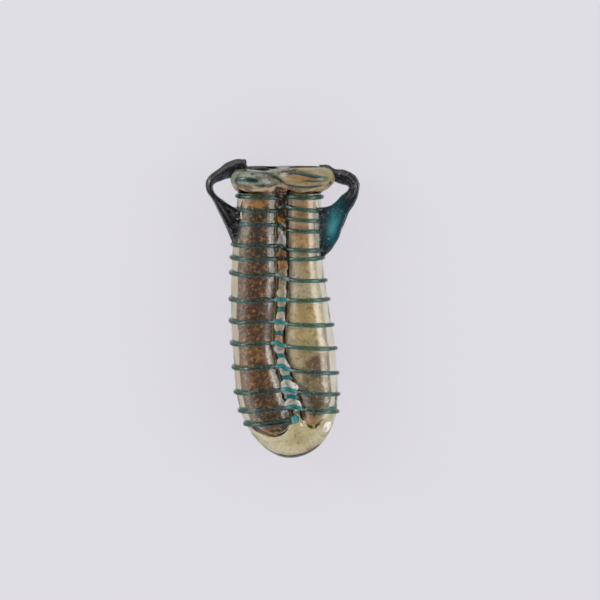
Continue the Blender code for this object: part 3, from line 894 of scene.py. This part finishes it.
def make_rim_film():
    """The weathered skin of the rim: a thin band round both lips, from under the flank over
    the crown to the mouths. It begins as a torus, whose tube becomes the band's section."""
    big, small = 1.0, 0.3
    deselect()
    bpy.ops.mesh.primitive_torus_add(major_segments=BODY_AROUND, minor_segments=FILM_STEPS,
                                     major_radius=big, minor_radius=small)
    film = bpy.context.object
    film.name = "rim_film"
    film.data.name = "rim_film"
    for vertex in film.data.vertices:
        x, y, z = vertex.co
        turn = math.atan2(y, x)
        section = math.atan2(z, math.hypot(x, y) - big) % (2 * math.pi) / math.pi
        share = section if section <= 1.0 else 2.0 - section
        lift = FILM_PROUD if section <= 1.0 else -FILM_SUNK
        if share < 0.4:
            height = mix(FILM_LOW, RIM_WIDEST, share / 0.4)
            height += 1.4 * MM * noise.noise(Vector((3 * turn, 0.0, 2.0))) * (1 - share / 0.4)
            point = surface_point(turn, height)
            outward = outward_at(turn, height)
        else:
            tilt = math.radians(FILM_TOP_TILT) * (share - 0.4) / 0.6
            point = crown_point(turn, tilt)
            around = crown_point(turn + 0.01, tilt) - crown_point(turn - 0.01, tilt)
            upwards = crown_point(turn, tilt + 0.01) - crown_point(turn, tilt - 0.01)
            outward = upwards.cross(around).normalized()
            centre = Vector((0.0, RIM_WIDEST - RIM_CROWN, 0.0))
            if outward.dot(point - centre) < 0.0:
                outward.negate()
        vertex.co = point + outward * lift + VESSEL_PLACE
    if is_inside_out(film.data):
        film.data.flip_normals()
    film.data.update()
    return film


# Streaks of the same blue-green glass worked into the rim. Each is a line of places, given as
# (x, height) in mm, and its width in mm, on the front or on the back.
LIP_STREAKS = (
    (((-14.5, 116.3), (-8.0, 116.1), (-3.6, 114.4), (-0.2, 111.6), (1.5, 110.6)), 1.5, True),
    (((-19.6, 112.0), (-16.0, 112.8), (-12.5, 112.6), (-9.0, 111.8)), 2.0, True),
    (((-12.0, 110.4), (-7.0, 110.2), (-2.0, 110.5)), 1.1, True),
    (((-3.4, 115.2), (2.0, 115.8), (8.0, 115.0), (14.0, 113.6), (19.0, 112.9)), 2.0, True),
    (((-0.4, 111.2), (4.5, 110.0), (11.0, 109.6), (17.0, 110.4)), 1.3, True),
    (((8.0, 112.4), (13.0, 112.0), (18.4, 112.2)), 0.9, True),
    (((-15.0, 116.0), (-5.0, 116.6), (4.0, 116.7), (15.0, 116.2)), 1.3, False),
    (((-18.0, 112.4), (-8.0, 113.2), (2.0, 112.2), (12.0, 112.6), (18.5, 111.6)), 1.6, False),
)


def make_streak(points, width, front):
    rows = [(i, x * MM, height * MM) for i, (x, height) in enumerate(points)]

    def spine(share):
        x, height = curve_through(rows, share * (len(rows) - 1))
        height = min(height, BODY_LENGTH - 0.1 * MM)
        turn = turn_for(x, height, front)
        taper = mix(0.4, 1.0, math.sin(math.pi * min(max(share, 0.02), 0.98)) ** 0.5)
        return (surface_point(turn, height), outward_at(turn, height), -0.06 * MM,
                width * MM / 2 * taper, STREAK_HEIGHT * taper)

    return tube_along("streak", 60, 10, spine)


# Earth and lime in the front furrow, whose pale lime zones are also painted light: the bright
# floor seen through the web. Heights from and to, and half its width as a turn. The bare
# places between show the thread on the back through the web.
FURROW_PATCHES = (
    (100.8, 109.6, 0.36),
    (95.0, 101.2, 0.32),
    (91.8, 94.6, 0.28),
    (85.6, 90.4, 0.30),
    (73.0, 85.2, 0.33),
    (61.0, 73.4, 0.30),
    (51.6, 59.9, 0.30),
    (42.6, 50.4, 0.31),
    (33.8, 41.3, 0.33),
    (25.8, 32.6, 0.40),
    (20.4, 24.6, 0.44),
)


def make_furrow_patch(low, high, half_turn, middle=math.pi / 2):
    """A thin cake of earth with ragged edges, lying in the furrow under the threads. Its pale
    zones are also painted light: the bright floor seen through the web.
    """
    def place(share, turn):
        along = -math.cos(math.pi * share)
        radius = math.sin(math.pi * share) ** 0.35
        across = radius * math.cos(turn)
        up = radius * math.sin(turn)
        height = mix(low, high, (along + 1) / 2) * MM
        ragged = 1.0 + 0.25 * noise.noise(Vector((across * 0.5, height / MM * 0.5, low)))
        height += 0.5 * MM * noise.noise(Vector((across * 1.2, along * 1.2, high)))
        angle = middle - across * half_turn * ragged
        lift = 0.12 * MM + 0.3 * MM * up
        return surface_point(angle, height) + outward_at(angle, height) * lift

    return add_form("patch", 48, 28, place)


BASE_FLAKE = (17.6 * MM, 13.6 * MM)   # x and height of a cream flake on the base's right

# Where the thread's back run shows between the patches: heights from and to, and half turn
FURROW_BARS = (
    (59.6, 61.6, 0.24),
    (50.2, 52.0, 0.25),
    (41.1, 43.0, 0.26),
    (32.2, 34.2, 0.30),
    (24.3, 26.4, 0.36),
)


class KohlGlass(bpy.types.PropertyGroup):
    """Colours of the two glasses."""

    body_colour: bpy.props.FloatVectorProperty(
        name="Body glass", description="Colour that the blown glass takes in depth",
        subtype="COLOR", size=3, min=0.0, max=1.0, default=(0.70, 0.60, 0.03))
    body_density: bpy.props.FloatProperty(
        name="Body depth", description="How fast the blown glass takes its colour, per metre",
        default=50.0, min=0.0)
    trail_colour: bpy.props.FloatVectorProperty(
        name="Applied glass", description="Colour that thin blue-green glass shows",
        subtype="COLOR", size=3, min=0.0, max=1.0, default=(0.04, 0.61, 0.57))
    thread_density: bpy.props.FloatProperty(
        name="Thread depth", description="How fast the thread takes its colour, per metre",
        default=1700.0, min=0.0)
    handle_colour: bpy.props.FloatVectorProperty(
        name="Handle glass", description="Colour that the handles show where they are thin",
        subtype="COLOR", size=3, min=0.0, max=1.0, default=(0.03, 0.59, 0.62))
    handle_density: bpy.props.FloatProperty(
        name="Handle depth", description="How fast the handles take their colour, per metre",
        default=3200.0, min=0.0)


class KohlApplied(bpy.types.PropertyGroup):
    """Sizes of the applied glass and of the crust."""

    thread_width: bpy.props.FloatProperty(
        name="Thread width", description="Width of the trailed thread",
        default=1.7 * MM, min=0.2 * MM, unit="LENGTH")
    thread_lift: bpy.props.FloatProperty(
        name="Thread lift", description="How high the thread's middle is above the wall",
        default=0.3 * MM, unit="LENGTH")
    crust_gap: bpy.props.FloatProperty(
        name="Crust gap", description="Air between the crust and the bore's wall",
        default=0.3 * MM, min=0.0, unit="LENGTH")
    crust_thickness: bpy.props.FloatProperty(
        name="Crust thickness", description="Thickness of the dried earth in the tubes",
        default=0.5 * MM, min=0.1 * MM, unit="LENGTH")


class KohlStage(bpy.types.PropertyGroup):
    """The floor and the light."""

    floor_colour: bpy.props.FloatVectorProperty(
        name="Floor", description="Colour of the floor",
        subtype="COLOR", size=3, min=0.0, max=1.0, default=hex_colour("#646366"))
    glow_colour: bpy.props.FloatVectorProperty(
        name="Glow colour", description="Colour of the light that comes up through the floor",
        subtype="COLOR", size=3, min=0.0, max=1.0, default=hex_colour("#E0DEE4"))
    glow: bpy.props.FloatProperty(
        name="Glow", description="Strength of the light that comes up through the floor",
        default=0.80, min=0.0)
    sky: bpy.props.FloatProperty(
        name="Soft light", description="Strength of the light from all round",
        default=1.8, min=0.0)


class OBJECT_OT_kohl_body(bpy.types.Operator):
    """Blow the body: two tubes in one, with a rolled rim, hollow"""

    bl_idname = "object.kohl_body"
    bl_label = "Glass Body"

    def execute(self, context):
        body = add_form("glass_body", BODY_RINGS, BODY_AROUND, body_place)
        cut_away(body, make_bore(-1))
        cut_away(body, make_bore(1))
        ripple(body, ((9 * MM, 0.16 * MM), (2.5 * MM, 0.03 * MM)))
        dress(body, blown_glass(), "tube_body", 35.0)
        return {"FINISHED"}


class OBJECT_OT_kohl_thread(bpy.types.Operator):
    """Trail the thread round the body"""

    bl_idname = "object.kohl_thread"
    bl_label = "Spiral Thread"

    def execute(self, context):
        thread = make_thread()
        looks = context.scene.kohl_glass
        glass = trailed_glass("trailed blue-green glass", looks.trail_colour,
                              looks.thread_density, flaking=True, lit=True)
        dress(thread, glass, "spiral_trail")
        return {"FINISHED"}


class OBJECT_OT_kohl_handles(bpy.types.Operator):
    """Draw the two handles"""

    bl_idname = "object.kohl_handles"
    bl_label = "Handles"

    def execute(self, context):
        looks = context.scene.kohl_glass
        glass = trailed_glass("drawn blue-green glass", looks.handle_colour,
                              looks.handle_density, flaking=True, on_pads=True)
        left_low = TURNS_LEFT[LEFT_PAD_TURN] * BODY_LENGTH
        right_low = TURNS_RIGHT[RIGHT_PAD_TURN] * BODY_LENGTH
        left = make_handle("glass_handle_left", -1, LEFT_LOOP, left_low, LEFT_REACH,
                           LEFT_PAD_DEPTH, LEFT_STRAP_DEPTH, 0.25, 0.2)
        right = make_handle("glass_handle_right", 1, RIGHT_LOOP, right_low, RIGHT_REACH,
                            RIGHT_PAD_DEPTH, RIGHT_STRAP_DEPTH, 0.84, 0.16)
        for handle, node in ((left, "left_handle"), (right, "right_handle")):
            ripple(handle, ((4 * MM, 0.35 * MM), (1.2 * MM, 0.08 * MM)))
            dress(handle, glass, node, 50.0)
        return {"FINISHED"}


# Colours of the earth and the crusts, each (height in mm, hex value). The near-white stop at
# 112 mm in both crusts, inside the mouths, is crust colour lifted as painted light against the
# shade there.
# The furrow's pale zones are partly painted light: they stand in for the bright floor seen
# through the web. Its orange and brown zones are earth.
FURROW_EARTH_AND_PAINTED_LIGHT_ZONES = (
    (22, "#F4EEE4"), (44, "#F6EEE4"), (48, "#D89458"), (52, "#F4E6D4"), (60, "#F0DCC0"),
    (66, "#E6D8BC"), (72, "#DCCCB0"), (75, "#D2935C"), (84, "#CC9468"), (87, "#D8D2CA"),
    (93, "#DCD6CE"), (96, "#E0862C"), (100, "#C87028"), (102, "#4A3022"), (109, "#3A261C"),
)
LEFT_ZONES = (
    (6, "#5A4032"), (18, "#6E4C32"), (28, "#84552E"), (38, "#A06A34"), (46, "#A87038"),
    (53, "#84522E"), (62, "#74422C"), (74, "#7C4A30"), (82, "#5E4034"), (92, "#523A32"),
    # The near-white top at 112 mm is painted light: crust colour lifted against the shade
    # inside the mouth.
    (99, "#604030"), (101, "#FFB868"), (108, "#FFB060"), (112, "#FFF0D0"),
)
RIGHT_ZONES = (
    (9, "#F0B868"), (16, "#E0AC70"), (20, "#6E5C46"), (28, "#74644E"), (33, "#DCC49A"),
    (50, "#FFEABC"), (58, "#FFE8B4"), (64, "#FFF0D8"), (78, "#F8E4C8"), (82, "#F4C08C"),
    # The near-white top at 112 mm is painted light: crust colour lifted against the shade
    # inside the mouth.
    (96, "#FFCC98"), (104, "#FFC088"), (112, "#FFF0D0"),
)


class OBJECT_OT_kohl_crusts(bpy.types.Operator):
    """Line both tubes with dried earth"""

    bl_idname = "object.kohl_crusts"
    bl_label = "Crust in the Tubes"

    def execute(self, context):
        sizes = context.scene.kohl_applied
        # The left tube's two grey patches, at 93 and 84 mm on its outer side, are painted
        # reflections: grey where the glass over the crust reflects the light.
        left_earth = deposit("rusty earth, dried in the left tube", LEFT_ZONES,
                             "#FFB860", "#24160F", 0.45 * MM, 0.8,
                             ((-17.0, 93.0, 5.0, "#A8A4A0"), (-17.5, 84.0, 3.0, "#98928C")))
        right_earth = deposit("pale chalky crust in the right tube", RIGHT_ZONES,
                              "#FFF0D0", "#9A6A3C", 0.6 * MM, 0.5,
                              ((16.0, 37.0, 7.5, "#8E7262"), (9.0, 61.0, 5.0, "#FFDCA0"),
                               (8.0, 50.0, 4.0, "#FFE4B0"), (17.5, 50.0, 3.5, "#B0A090")))
        for name, side, earth in (("left_crust", -1, left_earth),
                                  ("right_crust", 1, right_earth)):
            crust = crust_form(side, sizes.crust_gap, sizes.crust_thickness,
                               BODY_LENGTH - MOUTH_FLARE)
            ripple(crust, ((0.8 * MM, 0.12 * MM), (3 * MM, 0.1 * MM)), -0.12 * MM)
            crust.name = name
            crust.data.name = name
            dress(crust, earth, "tube_body")
        return {"FINISHED"}


class OBJECT_OT_kohl_furrow(bpy.types.Operator):
    """Leave earth in the front furrow, its pale zones also painted light seen through the web
    """

    bl_idname = "object.kohl_furrow"
    bl_label = "Earth and Painted Light in the Furrow"

    def execute(self, context):
        # Earth whose pale zones are also painted light: the bright floor seen through the web.
        earth = deposit("earth and painted light in the furrow", FURROW_EARTH_AND_PAINTED_LIGHT_ZONES, "#F4DCB4",
                        "#4A3226", 0.6 * MM, 0.6)
        patches = [make_furrow_patch(*patch) for patch in FURROW_PATCHES]
        on_base = turn_for(BASE_FLAKE[0], BASE_FLAKE[1], True)
        low = BASE_FLAKE[1] / MM - 2.2
        patches.append(make_furrow_patch(low, low + 4.4, 0.13, on_base))
        earth_with_painted_light = join(patches, "furrow_earth_and_painted_light")
        ripple(earth_with_painted_light, ((0.9 * MM, 0.08 * MM),))
        dress(earth_with_painted_light, earth, "tube_body")
        looks = context.scene.kohl_glass
        bars = join([make_furrow_patch(*bar) for bar in FURROW_BARS], "furrow_bars")
        glass = trailed_glass("trailed glass seen through the web", looks.trail_colour,
                              looks.thread_density, lit=True)
        dress(bars, glass, "spiral_trail")
        return {"FINISHED"}


class OBJECT_OT_kohl_streaks(bpy.types.Operator):
    """Work the blue-green streaks into the rim"""

    bl_idname = "object.kohl_streaks"
    bl_label = "Streaks in the Rim"

    def execute(self, context):
        looks = context.scene.kohl_glass
        streaks = join([make_streak(*row) for row in LIP_STREAKS], "lip_streaks")
        glass = trailed_glass("marvered blue-green glass", looks.trail_colour,
                              STREAK_DEPTH * looks.thread_density)
        dress(streaks, glass, "spiral_trail")
        film = make_rim_film()
        ripple(film, ((1.5 * MM, 0.05 * MM),))
        dress(film, weathered_skin(), "tube_body", 50.0)
        return {"FINISHED"}


# The photograph's view: looking down, tipped towards the mouths, 0.4 mm to a pixel
TIP_BACK = math.radians(6.0)
FRAME_HEIGHT = 240 * MM
CAMERA_DISTANCE = 1.2
SENSOR = 36.0
AIM = Vector((6.8, 63.75, 0.0)) * MM


class OBJECT_OT_kohl_stage(bpy.types.Operator):
    """Lay the floor, and set the light and the camera"""

    bl_idname = "object.kohl_stage"
    bl_label = "Floor, Light and Camera"

    def execute(self, context):
        looks = context.scene.kohl_stage
        deselect()
        bpy.ops.mesh.primitive_plane_add(size=6.0)
        floor = context.object
        floor.name = "floor"
        floor.data.materials.append(painted_board())

        world = bpy.data.worlds.new("soft white room")
        context.scene.world = world
        world.use_nodes = True
        tree = world.node_tree
        background = tree.nodes["Background"]
        background.inputs["Strength"].default_value = looks.sky
        direction = add_node(tree, "TexCoord", output="Generated")
        upwards = add_node(tree, "SeparateXYZ", {"Vector": direction}, "Z")
        room = add_node(tree, "ValToRGB", {"Fac": upwards},
                        stops=((0.0, colour4("#FFFFFF")), (0.45, colour4("#FAFAFF")),
                               (0.8, colour4("#808084")), (1.0, colour4("#6A6A6E"))))
        tree.links.new(room, background.inputs["Color"])

        aim = AIM + VESSEL_PLACE
        for name, place, size, power in (
                ("left_softbox", (-1.1, 0.5, 0.55), 0.5, 6.0),
                ("right_softbox", (1.1, 0.1, 0.55), 0.5, 3.0)):
            bpy.ops.object.light_add(type="AREA", location=place)
            light = context.object
            light.name = name
            light.data.shape = "SQUARE"
            light.data.size = size
            light.data.energy = power
            light.rotation_euler = (aim - Vector(place)).to_track_quat("-Z", "Y").to_euler()

        back = Vector((0.0, math.sin(TIP_BACK), math.cos(TIP_BACK)))
        bpy.ops.object.camera_add(location=aim + back * CAMERA_DISTANCE)
        camera = context.object
        camera.rotation_euler = (TIP_BACK * -1.0, 0.0, 0.0)
        camera.data.sensor_width = SENSOR
        camera.data.lens = SENSOR * CAMERA_DISTANCE / FRAME_HEIGHT
        context.scene.camera = camera
        context.scene.view_settings.view_transform = "Standard"
        return {"FINISHED"}


STEPS = (
    OBJECT_OT_kohl_stage, OBJECT_OT_kohl_body, OBJECT_OT_kohl_thread,
    OBJECT_OT_kohl_handles, OBJECT_OT_kohl_crusts, OBJECT_OT_kohl_furrow,
    OBJECT_OT_kohl_streaks,
)
GROUPS = (("kohl_glass", KohlGlass), ("kohl_applied", KohlApplied), ("kohl_stage", KohlStage))


class VIEW3D_PT_kohl_tube(bpy.types.Panel):
    """Sizes, colours and steps of the double kohl tube"""

    bl_idname = "VIEW3D_PT_kohl_tube"
    bl_label = "Double Kohl Tube"
    bl_space_type = "VIEW_3D"
    bl_region_type = "UI"
    bl_category = "Kohl Tube"

    def draw(self, context):
        for name, group in GROUPS:
            box = self.layout.box()
            values = getattr(context.scene, name)
            for key in group.__annotations__:
                box.prop(values, key)
        for step in STEPS:
            self.layout.operator(step.bl_idname)


CLASSES = (KohlGlass, KohlApplied, KohlStage, *STEPS, VIEW3D_PT_kohl_tube)


def register():
    for thing in CLASSES:
        bpy.utils.register_class(thing)
    for name, group in GROUPS:
        setattr(bpy.types.Scene, name, bpy.props.PointerProperty(type=group))


def unregister():
    for name, _ in GROUPS:
        delattr(bpy.types.Scene, name)
    for thing in reversed(CLASSES):
        bpy.utils.unregister_class(thing)


def main():
    register()
    for step in STEPS:
        getattr(bpy.ops.object, step.bl_idname.split(".")[1])()


if __name__ == "__main__":
    main()
